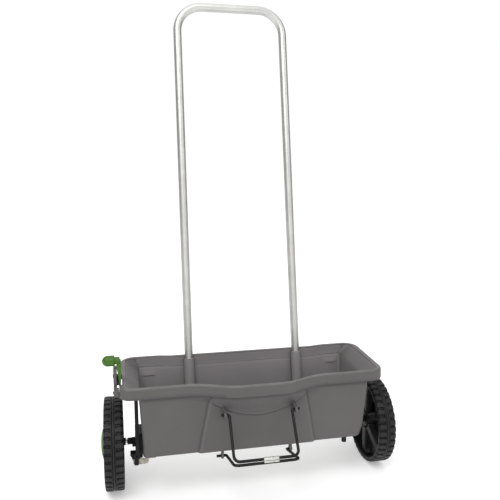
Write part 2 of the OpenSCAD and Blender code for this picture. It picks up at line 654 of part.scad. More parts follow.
// Spring clip: closed round the bail, hooked over the leg
clip_x = [-7, 24];
clip_t = 0.6;
clip_r = wire_d / 2 + 0.05;
hook_r = wire_d / 2 + 0.4;
module clip_hook2d() {
    intersection() {
        difference() { circle(hook_r + clip_t); circle(hook_r); }
        polygon([[0, 0], 20 * [sin(32), cos(32)], 20 * [0, 1], 20 * [-sin(40), cos(40)], 20 * [-sin(68), cos(68)]]);
    }
}
module stand_clip() color(zinc) placed() yz_plate(clip_x[0], clip_x[1]) {
    difference() {
        union() {
            translate(bail_tip) circle(clip_r + clip_t);
            translate(leg_tip) clip_hook2d();
        }
        translate(bail_tip) circle(clip_r);
    }
}

hopper();
handle_upper();
handle_lower_left();
handle_lower_right();
snap_buttons();
handle_screws();
axle();
agitator();
drive_pin();
wheel_washers();
push_nuts();
wheel_left();
wheel_right();
hub_cap_left();
hub_cap_right();
bearing_left();
bearing_right();
bearing_screws();
control_lever();
lever_shaft();
lever_crank();
control_link();
bell_crank();
bell_crank_pin();
metering_slide();
slide_rail_front();
slide_rail_rear();
rail_screws();
setting_quadrant();
quadrant_screws();
rate_stop();
stand_leg();
stand_bail();
stand_clip();
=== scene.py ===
import json
import math

import bmesh
import bpy
import numpy as np
from mathutils import Matrix, Vector


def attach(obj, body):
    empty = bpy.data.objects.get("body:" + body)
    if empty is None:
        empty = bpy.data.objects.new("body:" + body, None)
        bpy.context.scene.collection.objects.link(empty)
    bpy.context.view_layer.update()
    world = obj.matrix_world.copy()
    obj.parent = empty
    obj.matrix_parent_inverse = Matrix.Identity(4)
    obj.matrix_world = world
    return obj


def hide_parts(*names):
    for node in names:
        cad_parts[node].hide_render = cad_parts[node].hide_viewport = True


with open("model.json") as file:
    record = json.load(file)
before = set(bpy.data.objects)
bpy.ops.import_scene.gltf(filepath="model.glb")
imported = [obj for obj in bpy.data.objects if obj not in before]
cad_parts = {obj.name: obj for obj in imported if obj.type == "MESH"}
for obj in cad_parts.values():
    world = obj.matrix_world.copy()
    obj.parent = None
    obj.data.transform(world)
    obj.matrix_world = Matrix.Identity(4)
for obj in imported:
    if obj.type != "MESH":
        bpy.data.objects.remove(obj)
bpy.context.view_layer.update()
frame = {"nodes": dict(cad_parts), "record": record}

MM = 0.001
AXLE_Y = -36.0  # the shapes below are worked out with the axle over y = 0, in millimetres, and moved by this
AXLE_Z = 100.0
HANDLE_LEAN = math.radians(12.6)


# ---------------------------------------------------------------- materials

class Nodes:
    """A material with a Principled shader, and short calls that add nodes to it."""

    def __init__(self, name, **values):
        self.mat = bpy.data.materials.new(name)
        self.mat.use_nodes = True
        self.tree = self.mat.node_tree
        self.shader = self.tree.nodes["Principled BSDF"]
        for key, value in values.items():
            self.shader.inputs[key.replace("_", " ")].default_value = value
        self.coord = self.tree.nodes.new("ShaderNodeTexCoord").outputs["Object"]

    def put(self, socket, value):
        if isinstance(value, bpy.types.NodeSocket):
            self.tree.links.new(value, socket)
        else:
            socket.default_value = value

    def place(self, scale, turn=(0, 0, 0)):
        n = self.tree.nodes.new("ShaderNodeMapping")
        self.put(n.inputs["Vector"], self.coord)
        n.inputs["Rotation"].default_value = turn
        n.inputs["Scale"].default_value = scale
        return n.outputs["Vector"]

    def noise(self, scale, detail=3.0, where=None, rough=0.5, warp=0.0):
        n = self.tree.nodes.new("ShaderNodeTexNoise")
        self.put(n.inputs["Vector"], where or self.coord)
        n.inputs["Scale"].default_value = scale
        n.inputs["Detail"].default_value = detail
        n.inputs["Roughness"].default_value = rough
        n.inputs["Distortion"].default_value = warp
        return n.outputs["Fac"]

    def cells(self, scale):
        """A different random level in each cell."""
        n = self.tree.nodes.new("ShaderNodeTexVoronoi")
        self.put(n.inputs["Vector"], self.coord)
        n.inputs["Scale"].default_value = scale
        return self.math("MULTIPLY", n.outputs["Color"], 1.0)

    def remap(self, value, a, b, to_a=0.0, to_b=1.0):
        n = self.tree.nodes.new("ShaderNodeMapRange")
        n.interpolation_type = "SMOOTHSTEP"
        self.put(n.inputs["Value"], value)
        for key, v in (("From Min", a), ("From Max", b), ("To Min", to_a), ("To Max", to_b)):
            n.inputs[key].default_value = v
        return n.outputs["Result"]

    def math(self, op, a, b=0.0):
        n = self.tree.nodes.new("ShaderNodeMath")
        n.operation = op
        self.put(n.inputs[0], a)
        self.put(n.inputs[1], b)
        return n.outputs[0]

    def mix(self, fac, a, b):
        n = self.tree.nodes.new("ShaderNodeMix")
        n.data_type = "RGBA"
        self.put(n.inputs["Factor"], fac)
        self.put(n.inputs["A"], a)
        self.put(n.inputs["B"], b)
        return n.outputs["Result"]

    def axis(self, letter):
        n = self.tree.nodes.new("ShaderNodeSeparateXYZ")
        self.put(n.inputs[0], self.coord)
        return n.outputs[letter]

    def mark(self, name):
        """A level that the mesh itself carries; 0 on a mesh without it."""
        n = self.tree.nodes.new("ShaderNodeAttribute")
        n.attribute_name = name
        return n.outputs["Fac"]

    def facing_up(self):
        n = self.tree.nodes.new("ShaderNodeNewGeometry")
        s = self.tree.nodes.new("ShaderNodeSeparateXYZ")
        self.put(s.inputs[0], n.outputs["Normal"])
        return s.outputs["Z"]

    def bump(self, height, distance, strength=1.0, under=None):
        n = self.tree.nodes.new("ShaderNodeBump")
        n.inputs["Distance"].default_value = distance
        n.inputs["Strength"].default_value = strength
        self.put(n.inputs["Height"], height)
        if under is not None:
            self.put(n.inputs["Normal"], under)
        return n.outputs["Normal"]

    def finish(self, color=None, rough=None, normal=None):
        for key, value in (("Base Color", color), ("Roughness", rough), ("Normal", normal)):
            if value is not None:
                self.put(self.shader.inputs[key], value)
        return self.mat


def grey_plastic():
    """Mould-textured polypropylene: fine grain, faint flow marks and scuffs, dust with a painted highlight
    along the rim's top, painted shade in creases and under the flange, painted highlights on ridges, and the
    trough's inside painted paler as painted light.
    """
    m = Nodes("grey_moulding", Specular_IOR_Level=0.35)
    cloud = m.noise(5.0, 4.0)
    flow = m.noise(9.0, 3.0, m.place((1.0, 1.0, 0.22)), warp=0.6)
    grain = m.noise(1500.0, 2.0)
    scuff = m.remap(m.noise(60.0, 5.0, m.place((1.0, 1.0, 7.0), (0.2, 0.5, 0.3)), 0.65), 0.64, 0.78)
    base = m.mix(m.remap(cloud, 0.3, 0.7), (0.082, 0.0755, 0.0765, 1), (0.092, 0.085, 0.086, 1))
    base = m.mix(m.remap(flow, 0.35, 0.75, 0.0, 0.35), base, (0.100, 0.0925, 0.0935, 1))
    # painted light: the inside of the trough is painted paler, to stand in for the light that falls into it
    inside_painted_light = m.math("MULTIPLY", m.mark("inside"), m.remap(cloud, 0.25, 0.75, 0.75, 1.0))
    base = m.mix(inside_painted_light, base, (0.212, 0.198, 0.201, 1))
    base = m.mix(m.math("MULTIPLY", scuff, 0.2), base, (0.14, 0.132, 0.132, 1))
    base = m.mix(m.remap(grain, 0.35, 0.7, 0.0, 0.14), base, (0.058, 0.053, 0.054, 1))
    # dust, partly a painted highlight: the up-facing faces along the rim's top are painted paler
    height = m.axis("Z")
    top = m.math("MULTIPLY", m.remap(height, 0.2575, 0.2625), m.remap(m.facing_up(), 0.2, 0.9))
    dust = m.math("MULTIPLY", top, m.remap(m.noise(34.0, 6.0), 0.38, 0.72, 0.30, 0.62))
    base = m.mix(dust, base, (0.165, 0.155, 0.156, 1))
    # painted shade in the hollows and under the flange, and painted highlights on the raised edges
    base = m.mix(m.math("MULTIPLY", m.mark("hollow"), 0.55), base, (0.036, 0.033, 0.034, 1))
    base = m.mix(m.math("MULTIPLY", m.mark("edge"), 0.28), base, (0.150, 0.140, 0.142, 1))
    rough = m.remap(m.noise(22.0, 4.0), 0.3, 0.7, 0.44, 0.56)
    rough = m.math("ADD", rough, m.math("MULTIPLY", scuff, -0.08))
    normal = m.bump(grain, 0.00025, 0.55)
    normal = m.bump(flow, 0.0009, 0.25, normal)
    return m.finish(base, rough, normal)


def black_plastic(name, base_a, base_b, rough_a, rough_b, grain_size, dirt, shine=0.2):
    """Black moulding or coating: clouded, scratched, dusty in places, and painted near black in marked
    grooves as painted shade.
    """
    m = Nodes(name, Specular_IOR_Level=shine)
    grain = m.noise(grain_size, 2.0)
    cloud = m.noise(18.0, 5.0, None, 0.6)
    base = m.mix(m.remap(cloud, 0.35, 0.7), base_a, base_b)
    dust = m.remap(m.noise(75.0, 6.0, None, 0.65), 0.52, 0.76, 0.0, dirt)
    base = m.mix(dust, base, (0.06, 0.057, 0.052, 1))
    # painted shade: near black down the tread's grooves and part of that over the wheel's faces inside the
    # rim
    base = m.mix(m.mark("painted_groove_shade"), base, (0.0022, 0.0022, 0.0028, 1))
    scratch = m.remap(m.noise(110.0, 3.0, m.place((0.25, 4.0, 1.0), (0.4, 0.1, 0.7))), 0.66, 0.74)
    rough = m.math("ADD", m.remap(cloud, 0.3, 0.7, rough_a, rough_b), m.math("MULTIPLY", scratch, 0.15))
    normal = m.bump(grain, 0.00025, 0.5)
    normal = m.bump(scratch, 0.00008, 0.6, normal)
    return m.finish(base, rough, normal)


def green_plastic():
    """Clouded green moulding with a fine grain and paler worn spots."""
    m = Nodes("green_moulding", Specular_IOR_Level=0.3, Coat_Weight=0.05, Coat_Roughness=0.3)
    cloud = m.noise(30.0, 4.0)
    grain = m.noise(1700.0, 2.0)
    base = m.mix(m.remap(cloud, 0.3, 0.7), (0.034, 0.104, 0.0035, 1), (0.046, 0.130, 0.005, 1))
    wear = m.remap(m.noise(160.0, 5.0, None, 0.7), 0.62, 0.74, 0.0, 0.35)
    base = m.mix(wear, base, (0.065, 0.155, 0.014, 1))
    normal = m.bump(grain, 0.0002, 0.45)
    return m.finish(base, m.remap(cloud, 0.3, 0.7, 0.36, 0.50), normal)


def tube_metal():
    """Satin drawn tube: fine lines along the tube, light oxide clouding and small rub marks."""
    m = Nodes("satin_tube", Metallic=1.0)
    along = m.place((1.0, 1.0, 0.012), (HANDLE_LEAN, 0, 0))
    lines = m.noise(2600.0, 2.0, along)
    cloud = m.noise(26.0, 5.0, None, 0.6)
    base = m.mix(m.remap(cloud, 0.3, 0.72), (0.55, 0.548, 0.535, 1), (0.64, 0.637, 0.62, 1))
    base = m.mix(m.remap(lines, 0.3, 0.7, 0.0, 0.25), base, (0.38, 0.38, 0.365, 1))
    rub = m.remap(m.noise(70.0, 6.0, m.place((1.0, 1.0, 0.25), (HANDLE_LEAN, 0, 0)), 0.7), 0.62, 0.76)
    base = m.mix(m.math("MULTIPLY", rub, 0.3), base, (0.33, 0.33, 0.32, 1))
    rough = m.math("ADD", m.remap(lines, 0.3, 0.7, 0.36, 0.46), m.math("MULTIPLY", rub, 0.1))
    m.shader.inputs["Specular Tint"].default_value = (0.25, 0.25, 0.25, 1)
    return m.finish(base, rough, m.bump(lines, 0.00006, 0.5))


def plated_steel():
    """Bright zinc plate with turned lines."""
    m = Nodes("zinc_plate", Metallic=1.0)
    cloud = m.noise(180.0, 4.0)
    lines = m.noise(1400.0, 2.0, m.place((0.05, 1.0, 1.0)))
    base = m.mix(m.remap(cloud, 0.3, 0.7), (0.52, 0.52, 0.50, 1), (0.66, 0.66, 0.63, 1))
    return m.finish(base, m.remap(cloud, 0.3, 0.7, 0.26, 0.42), m.bump(lines, 0.00005, 0.5))


def galvanised():
    """Hot-dipped sheet: crystal spangle under a warm stain."""
    m = Nodes("galvanised_sheet", Metallic=0.75)
    spangle = m.cells(95.0)
    base = m.mix(m.remap(spangle, 0.2, 0.8), (0.27, 0.252, 0.20, 1), (0.40, 0.375, 0.31, 1))
    stain = m.remap(m.noise(60.0, 5.0), 0.5, 0.75, 0.0, 0.45)
    base = m.mix(stain, base, (0.24, 0.205, 0.145, 1))
    return m.finish(base, m.remap(m.noise(45.0, 4.0), 0.3, 0.7, 0.34, 0.55), m.bump(spangle, 0.00008, 0.5))


GREY = grey_plastic()
TYRE = black_plastic("tyre_moulding", (0.0125, 0.0125, 0.0138, 1), (0.0205, 0.0200, 0.0214, 1),
                     0.42, 0.56, 1100.0, 0.20, 0.22)
BLACK = black_plastic("black_moulding", (0.006, 0.006, 0.0065, 1), (0.011, 0.011, 0.0115, 1),
                      0.36, 0.48, 1500.0, 0.08)
WIRE = black_plastic("coated_wire", (0.006, 0.006, 0.006, 1), (0.011, 0.011, 0.011, 1),
                     0.30, 0.40, 900.0, 0.06)
GREEN = green_plastic()
TUBE = tube_metal()
STEEL = plated_steel()
ZINC = galvanised()

FINISH = {
    "grey_plastic": GREY, "handle_tube": TUBE, "plated_steel": STEEL, "black_plastic": BLACK,
    "green_plastic": GREEN, "galvanised_steel": ZINC, "black_wire": WIRE,
}
slot_of = {s["node"]: s["material_slot"] for s in frame["record"]["subparts"]}


# ---------------------------------------------------------------- mesh helpers

def smooth(obj, degrees):
    """Shade smooth, with edges sharper than this kept."""
    for p in obj.data.polygons:
        p.use_smooth = True
    obj.data.set_sharp_from_angle(angle=math.radians(degrees))


def mesh_object(name, verts, faces, mat):
    """Vertices are in millimetres with the axle over y = 0."""
    v = np.array(verts, float)
    v[:, 1] += AXLE_Y
    me = bpy.data.meshes.new(name)
    me.from_pydata((v * MM).tolist(), [], [list(map(int, f)) for f in faces])
    me.validate()
    obj = bpy.data.objects.new(name, me)
    bpy.context.scene.collection.objects.link(obj)
    me.materials.append(mat)
    bm = bmesh.new()
    bm.from_mesh(me)
    bmesh.ops.recalc_face_normals(bm, faces=bm.faces)
    bm.to_mesh(me)
    bm.free()
    return obj


def loft(rings, closed=False):
    """Quads between outlines of equal length.

    closed joins the last outline to the first; otherwise each end has a fan about its middle point.
    """
    n = len(rings[0])
    v = [p for r in rings for p in r]
    faces = []
    last = len(rings) if closed else len(rings) - 1
    for k in range(last):
        a, b = k * n, ((k + 1) % len(rings)) * n
        for i in range(n):
            j = (i + 1) % n
            faces.append((a + i, b + i, b + j, a + j))
    if not closed:
        for k in (0, len(rings) - 1):
            c = len(v)
            v.append(tuple(np.mean(np.array(rings[k], float), axis=0)))
            for i in range(n):
                faces.append((c, k * n + i, k * n + (i + 1) % n))
    return v, faces


def lathe(profile, n, origin, along=(1, 0, 0)):
    """A closed solid turned from (distance along, radius) points; a radius of 0 at an end closes it."""
    along = Vector(along).normalized()
    side = along.orthogonal().normalized()
    other = along.cross(side)
    rings = []
    for d, r in profile:
        c = Vector(origin) + along * d
        r = max(r, 1e-3)
        rings.append([tuple(c + side * (r * math.cos(t)) + other * (r * math.sin(t)))
                      for t in (2 * math.pi * i / n for i in range(n))])
    return loft(rings)


def plate(outline, x0, x1, bevel):
    """A [y, z] outline given thickness along x, with its edges eased."""
    pts = np.array(outline, float)
    mid = pts.mean(0)

    def inset(d):
        out = []
        n = len(pts)
        for i in range(n):
            a, b, c = pts[i - 1], pts[i], pts[(i + 1) % n]
            before = (b - a) / max(np.linalg.norm(b - a), 1e-9)
            after = (c - b) / max(np.linalg.norm(c - b), 1e-9)
            inward = np.array([-(before + after)[1], (before + after)[0]])
            inward /= max(np.linalg.norm(inward), 1e-9)
            if inward @ (mid - b) < 0:
                inward = -inward
            out.append(b + inward * d)
        return np.array(out)

    rings = []
    soft = bevel * 0.3
    for x, d in ((x0, bevel), (x0 + soft, soft), (x0 + bevel, 0),
                 (x1 - bevel, 0), (x1 - soft, soft), (x1, bevel)):
        rings.append([(x, p[0], p[1]) for p in inset(d)])
    return loft(rings)


def combine(base, shapes, how):
    """Boolean of a mesh object with closed shapes, each its vertices and faces, applied at once."""
    tools = [mesh_object("tool", *shape, base.data.materials[0]) for shape in shapes]
    for tool in tools:
        mod = base.modifiers.new("cut", "BOOLEAN")
        mod.operation = how
        mod.solver = "MANIFOLD"
        mod.object = tool
    deps = bpy.context.evaluated_depsgraph_get()
    new = bpy.data.meshes.new_from_object(base.evaluated_get(deps))
    base.modifiers.clear()
    old = base.data
    base.data = new
    bpy.data.meshes.remove(old)
    for tool in tools:
        bpy.data.objects.remove(tool)


def along_x(x0, x1, d, y, z, n=40):
    """A plain cylinder of diameter d, to cut a hole along x."""
    return lathe([(x0, d / 2), (x1, d / 2)], n, (0, y, z), (1, 0, 0))


# ---------------------------------------------------------------- hopper

TROUGH_X = 242.0      # half the trough's width, low down
MOUTH_X = 248.5       # and under the rim
FRONT_Y = 97.0        # the front wall, ahead of the axle
FOOT_Y = 24.0         # half the floor's depth
FOOT_Z = 76.0         # the floor's underside
FRONT_FOOT_Z = 108.0  # where the front wall turns in to the floor
REAR_FOOT_Y = 46.0    # where the rear wall does, behind the axle
REAR_FOOT_Z = 104.0
REAR_TOP_Y = 77.0     # the rear wall under the rim
PANEL = 5.0           # how far the front panel stands out
CRISP = 4.0           # the extra step along the panel's curved upper edge, outside
BAND_Z = 240.0        # the lower edge of the band that hangs from the rim
BAND = 2.8            # the band's thickness
RIM_Z = 264.0
RIM_X = 287.0
RIM_FRONT = 103.0
RIM_REAR = 88.0
RIM_CORNER = 34.0
RIM_BOW = 28.0        # how far the rim bows forward in the middle
WALL = 3.0

SOCKET_X = 128.7            # the two handle sockets
LEG_PIVOT = (-86, 91)       # [y, z] of the stand leg's pins
BAIL_PIVOT = (-122, 201)    # and of the bail's
LUG_X = (73.2, 77.8)        # the lugs' inner and outer faces
LEVER_SHAFT = (-56, 236)    # [y, z] of the lever's shaft

PANEL_EDGE_XS = {float(s * x) for s in (-1, 1) for x in np.arange(98, 133, 2)}
FRONT_XS = sorted({float(x) for x in np.arange(-152, 153, 4)} | PANEL_EDGE_XS)
FRONT_END = 152


def ease(t):
    t = np.clip(t, 0.0, 1.0)
    return t * t * (3 - 2 * t)


def bow(x):
    return 0.5 + 0.5 * math.cos(math.pi * min(1, max(0, (abs(x) - 40) / 110)))


def panel_half(z):
    return 127 - 22 * (z - 106) / 119


def arc_z(x):
    return 188 + 37 * min(1, (abs(x) / 104) ** 2)


def relief(x, z, crisp=0.0):
    """How far the front wall stands out: the panel, and above its arc the swell towards the rim's bow."""
    side = 1 - ease((abs(x) - panel_half(z) + 3) / 6)
    out = PANEL * side * ease((z - 96) / 10)
    over = ease((z - arc_z(x)) / max(8, BAND_Z - arc_z(x)))
    out += (RIM_BOW - PANEL) * bow(x) * over
    # the name area's lower edge is a clear step that fades into the peaks
    step = ease((z - arc_z(x) + 1.2) / 2.4) * (1 - ease((abs(x) - 90) / 20))
    return out + crisp * step * (1 - over)


def rear_step(x):
    return 6 * (1 - ease((abs(x) - 165) / 40))


def inner_ledge(x, z):
    """A short ledge at each end of the rear wall: the wall stands in a little above it and fades back."""
    along = ease((abs(x) - 206) / 6) * (1 - ease((abs(x) - 232) / 6))
    return 1.5 * along * ease((z - 219.5) / 2.0) * (1 - ease((z - 223) / 12))


def ring(z, xe, yf, yr, r, rim, crisp=0.0, ledge=False, rear=None):
    """One outline of the hopper at height z.

    xe is its half width, yf and yr its depths in front of and behind the axle, r its corner radius.
    rim is 1 where it follows the rim's bow and 0 where it follows the wall's relief. rear is 1 where it
    takes the whole of the rear wall's step.
    """
    rear = rim if rear is None else rear
    # at the left end the walls keep a tight corner beside the linkage, and the rim a tighter front corner
    left = r if rim > 0.5 else min(r, 9)
    left_front = left * 0.72 if rim > 0.5 else left
    lo = -(xe - left)
    hi = xe - r
    xs = [lo + (-FRONT_END - lo) * i / 8 for i in range(1, 8)] + FRONT_XS
    xs += [FRONT_END + (hi - FRONT_END) * i / 8 for i in range(1, 8)]
    pts = [(x, -yf - (rim * RIM_BOW * bow(x) + (1 - rim) * relief(x, z, crisp)), z) for x in xs]

    def corner(cx, cy, radius, start, steps=12):
        for i in range(steps + 1):
            a = math.radians(start + 90 * i / steps)
            pts.append((cx + radius * math.cos(a), cy + radius * math.sin(a), z))

    corner(xe - r, -yf + r, r, -90)
    corner(xe - r, yr - r, r, 0)
    rear_steps = 66
    for i in range(1, rear_steps):
        x = hi + (lo - hi) * i / rear_steps
        pts.append((x, yr - rear * rear_step(x) - (inner_ledge(x, z) if ledge else 0), z))
    corner(-xe + left, yr - left, left, 90)
    corner(-xe + left_front, -yf + left_front, left_front, 180)
    return pts


def wall_x(z):
    return TROUGH_X + (MOUTH_X - TROUGH_X) * min(1, max(0, (z - 130) / (BAND_Z - 130)))


def wall_front(z):
    if z < FRONT_FOOT_Z:
        slope = (FRONT_Y - 2 - FOOT_Y) / (FRONT_FOOT_Z - FOOT_Z)
        return FOOT_Y + (z - FOOT_Z) * slope - 2 * ease((z - 100) / 8)
    return FRONT_Y - 2 * (1 - ease((z - FRONT_FOOT_Z) / 100)) - 2 * (1 - ease((z - FRONT_FOOT_Z) / 6))


def wall_rear(z):
    if z < REAR_FOOT_Z:
        return FOOT_Y + (z - FOOT_Z) * (REAR_FOOT_Y - FOOT_Y) / (REAR_FOOT_Z - FOOT_Z)
    return REAR_FOOT_Y + (REAR_TOP_Y - REAR_FOOT_Y) * (z - REAR_FOOT_Z) / (BAND_Z - REAR_FOOT_Z)


def wall_corner(z):
    return 9 + 13 * (1 - ease((z - 112) / 24))


def foot_in(z):
    return 4.0 * (1 - ease((z - FOOT_Z) / 3.0))


def outer_ring(z):
    return ring(z, wall_x(z) - foot_in(z), wall_front(z), wall_rear(z), wall_corner(z), 0.0, CRISP)


def inner_ring(z):
    # the step over the middle of the rear wall fades out downward
    fade = 0.9 * ease((z - 150) / 84)
    width, front, rear = wall_x(z) - WALL, wall_front(z) - WALL, wall_rear(z) - WALL
    return ring(z, width, front, rear, wall_corner(z) - WALL, 0.0, 2.6, True, fade)


def inner_foot(z):
    width, front, rear = wall_x(z) - WALL - foot_in(z), wall_front(z) - 1.2, wall_rear(z) - 2
    return ring(z + WALL, width, front, rear, wall_corner(z) - WALL, 0.0, 0.0, True)


def rim_ring(z, d):
    """An outline of the rim's outside, drawn in by d."""
    return ring(z, RIM_X - d, RIM_FRONT - d, RIM_REAR - d, RIM_CORNER - d, 1.0)


def hopper_rings():
    """The hopper's outlines in order: up the outside, round the rim, and down the inside to the floor."""
    heights = [FOOT_Z, 77.2, 79, 84, 90, 96, 99, 101, 103, 105, 106.5, 108, 109.5, 111, 112.5, 114, 117]
    heights += [120, 124, 128, *range(134, 177, 7), 181] + [185 + 1.5 * i for i in range(35)]
    rings = [outer_ring(h) for h in heights]
    # a small fillet under the flange, then the flange's underside
    for t in np.linspace(0, 1, 5):
        up = math.sin(t * math.pi / 2)
        out = 1 - math.cos(t * math.pi / 2)
        rings.append(ring(237.5 + 4.5 * up, MOUTH_X + 3.5 * out, FRONT_Y + 1.0 * out, REAR_TOP_Y + 0.4 * out,
                          9 + 4 * out, t, CRISP * (1 - t)))
    for t in np.linspace(0.15, 1, 6):
        half = 252 + (RIM_X - BAND - 0.8 - 252) * t
        front = 98 + (RIM_FRONT - BAND - 0.6 - 98) * t
        back = 77.4 + (RIM_REAR - BAND - 0.6 - 77.4) * t
        rings.append(ring(242 + 12 * t, half, front, back, 13 + 17.5 * t, 1.0))
    # down inside the hanging band, round its lower edge and up its outside
    band = [(252.6, BAND), (247, BAND), (241.2, BAND), (240.3, BAND - 0.5), (BAND_Z, BAND - 1.2)]
    band += [(240.1, 0.7), (240.6, 0.25), (241.6, 0.0), (248, 0.25), (256, 0.7)]
    rings += [rim_ring(z, d) for z, d in band]
    # over the rim's rounded top, with a shallow groove along it
    for t in np.linspace(0, 1, 7):
        a = t * math.pi / 2
        rings.append(rim_ring(258.6 + 5.4 * math.sin(a), 0.9 + 5.4 * (1 - math.cos(a))))
    rings += [rim_ring(263.35, 7.6), rim_ring(263.2, 8.4)]
    rings += [ring(263.3, 278.2, 97.0, 81.2, 24.1, 1.0), ring(RIM_Z, 277.4, 96.4, 80.6, 23.3, 1.0)]
    for t in np.linspace(0, 1, 6):
        down = 1 - math.cos(t * math.pi / 2)
        inward = math.sin(t * math.pi / 2)
        rings.append(ring(RIM_Z - 3.0 * down, 276.6 - 3.6 * inward, 96.0 - 2.4 * inward,
                          80.2 - 2.6 * inward, 22.5 - 3.5 * inward, 1.0))
    # the shallow dish at each end drops into the trough over a rounded lip
    for t in np.linspace(0.15, 1, 7):
        rings.append(ring(261.0 - 12.5 * t, 273.0 - 17.5 * t, 93.6 - 0.2 * t, 77.5 - 1.5 * t, 19.0 - 5.5 * t,
                          1 - 0.25 * t, rear=1.0))
    for t in np.linspace(0.14, 1, 7):
        over = math.sin(t * math.pi / 2)
        rings.append(ring(248.5 - 6.3 * over - 2 * t, 255.5 - 9.8 * over, 93.4 + 0.5 * t, 76.0 - 2.2 * t,
                          13.5 - 7.3 * t, 0.75 * (1 - ease(t)), 2.6 * t, True, 1 - 0.1 * t))
    rings += [inner_ring(h) for h in reversed(heights) if 114 < h < 234]
    rings += [inner_foot(h) for h in (110, 108, 106, 104, 101, 96, 90, 84, 79, 77.2, 76)]
    return rings


def arc(pivot, radius, start, stop):
    """[y, z] points round a pivot, from one angle in degrees to another."""
    return [(pivot[0] + radius * math.cos(math.radians(a)), pivot[1] + radius * math.sin(math.radians(a)))
            for a in np.linspace(start, stop, 17)]


def add_socket(side, adds, cuts):
    """A socket for the handle inside the rear wall, and the boss for its screw."""
    turn = Matrix.Rotation(-HANDLE_LEAN, 3, "X")
    up = turn @ Vector((0, 0, 1))
    back = turn @ Vector((0, 1, 0))
    mouth = Vector((side * SOCKET_X, 67, 259))
    screw = mouth + up * -70
    shell = [(-152, 11.2), (-151.2, 12.2), (-149, 12.5), (-4, 12.5), (-1.8, 12.1), (-1.0, 11.0)]
    adds.append(lathe(shell, 64, mouth, up))
    cuts.append(lathe([(-140, 9.6), (8, 9.6)], 64, mouth, up))
    adds.append(lathe([(9, 7.0), (13.6, 6.6), (14.2, 6.0)], 40, screw, back))
    cuts.append(lathe([(7, 2.5), (22, 2.5)], 24, screw, back))


def add_stand_lugs(side, adds, cuts):
    """The lug under the front and the ear on it that carry the stand's two wires, each with a raised eye."""
    x0, x1 = sorted((side * LUG_X[0], side * LUG_X[1]))
    leg_lug = arc(LEG_PIVOT, 6.5, 180, 360) + [(-79.5, 104.5), (-92.5, 106.8)]
    bail_ear = arc(BAIL_PIVOT, 6.5, 90, 270) + [(-99.5, 184), (-99.5, 215)]
    eye = [(side * 72.9, 5.2), (side * 73.3, 5.6), (side * 78.0, 5.6), (side * 78.4, 5.2)]
    for (y, z), outline in ((LEG_PIVOT, leg_lug), (BAIL_PIVOT, bail_ear)):
        adds.append(plate(outline, x0, x1, 0.8))
        adds.append(lathe(eye, 32, (0, y, z)))
        cuts.append(along_x(x0 - 4, x1 + 4, 6.1, y, z))


def add_lever_webs(adds, cuts):
    """Two webs that carry the lever's shaft, the lever's slot, and the quadrant's screw holes."""
    y, z = LEVER_SHAFT
    under = [(y + 10 * math.cos(math.radians(a)), z + 10 * math.sin(math.radians(a)) * 0.8)
             for a in np.linspace(200, 340, 15)]
    for x, top in ((-263, 252), (-273, 256)):
        outline = [(y - 10, top), (y - 10, z - 4)] + under + [(y + 10, z - 4), (y + 10, top)]
        adds.append(plate(outline, x - 5, x, 0.6))
    cuts.append(along_x(-282, -258, 8.1, y, z))
    cuts.append(plate([(-72, 226), (-18, 226), (-18, 266), (-72, 266)], -291, -280.8, 0.01))
    for screw_y in (-76, -14):
        cuts.append(along_x(-288, -283, 3.1, screw_y, 249, 24))


def add_gussets(adds):
    """Stiffening gussets under the flange at the ends and the back."""
    for side in (-1, 1):
        corners = [(side * 246.5, 214), (side * 246.5, 243), (side * 283, 251), (side * 283, 247)]
        for y in (40.0, 0.0):
            verts, faces = plate(corners, y - 1.1, y + 1.1, 0.3)
            adds.append(([(p[1], p[0], p[2]) for p in verts], faces))
    for x in (-200, -70, 0, 70, 200):
        depth = 80 if abs(x) < 165 else 84
        corners = [(73.5, 214), (76.0, 243), (depth, 250), (depth, 246)]
        adds.append(plate(corners, x - 1.1, x + 1.1, 0.3))


def mark_inside(obj):
    """A face attribute that is 1 on the faces that look into the trough, and less on the lip above it; the
    material paints these faces paler as painted light.
    """
    me = obj.data
    n = len(me.polygons)
    centre = np.zeros(n * 3)
    normal = np.zeros(n * 3)
    me.polygons.foreach_get("center", centre)
    me.polygons.foreach_get("normal", normal)
    x, y, z = (centre.reshape(n, 3) / MM - (0, AXLE_Y, 0)).T
    nx, ny, nz = normal.reshape(n, 3).T
    to_axle = -np.sign(y) * ny
    into = np.where(np.abs(y) > 60, to_axle, np.where(np.abs(x) > 230, -np.sign(x) * nx, nz))
    into = np.maximum(into, to_axle * (y > 30))
    trough = (np.abs(x) < 249) & (z > 78.5) & (z < 261) & (y < 80) & (y > -128)
    inside = trough & (into > 0.25) & (nz > -0.35)
    # the dishes at the ends and the rear lip face up and get only a little of this painted light
    dish = (np.abs(x) > 240) & (np.abs(x) < 274) & (y > -95)
    lip = (z > 236) & (z < 262.7) & (y < 79) & (nz > 0.25) & (dish | (y > 60))
    att = me.attributes.new("inside", "FLOAT", "FACE")
    att.data.foreach_set("value", np.where(lip, 0.12, inside).astype(np.float32))


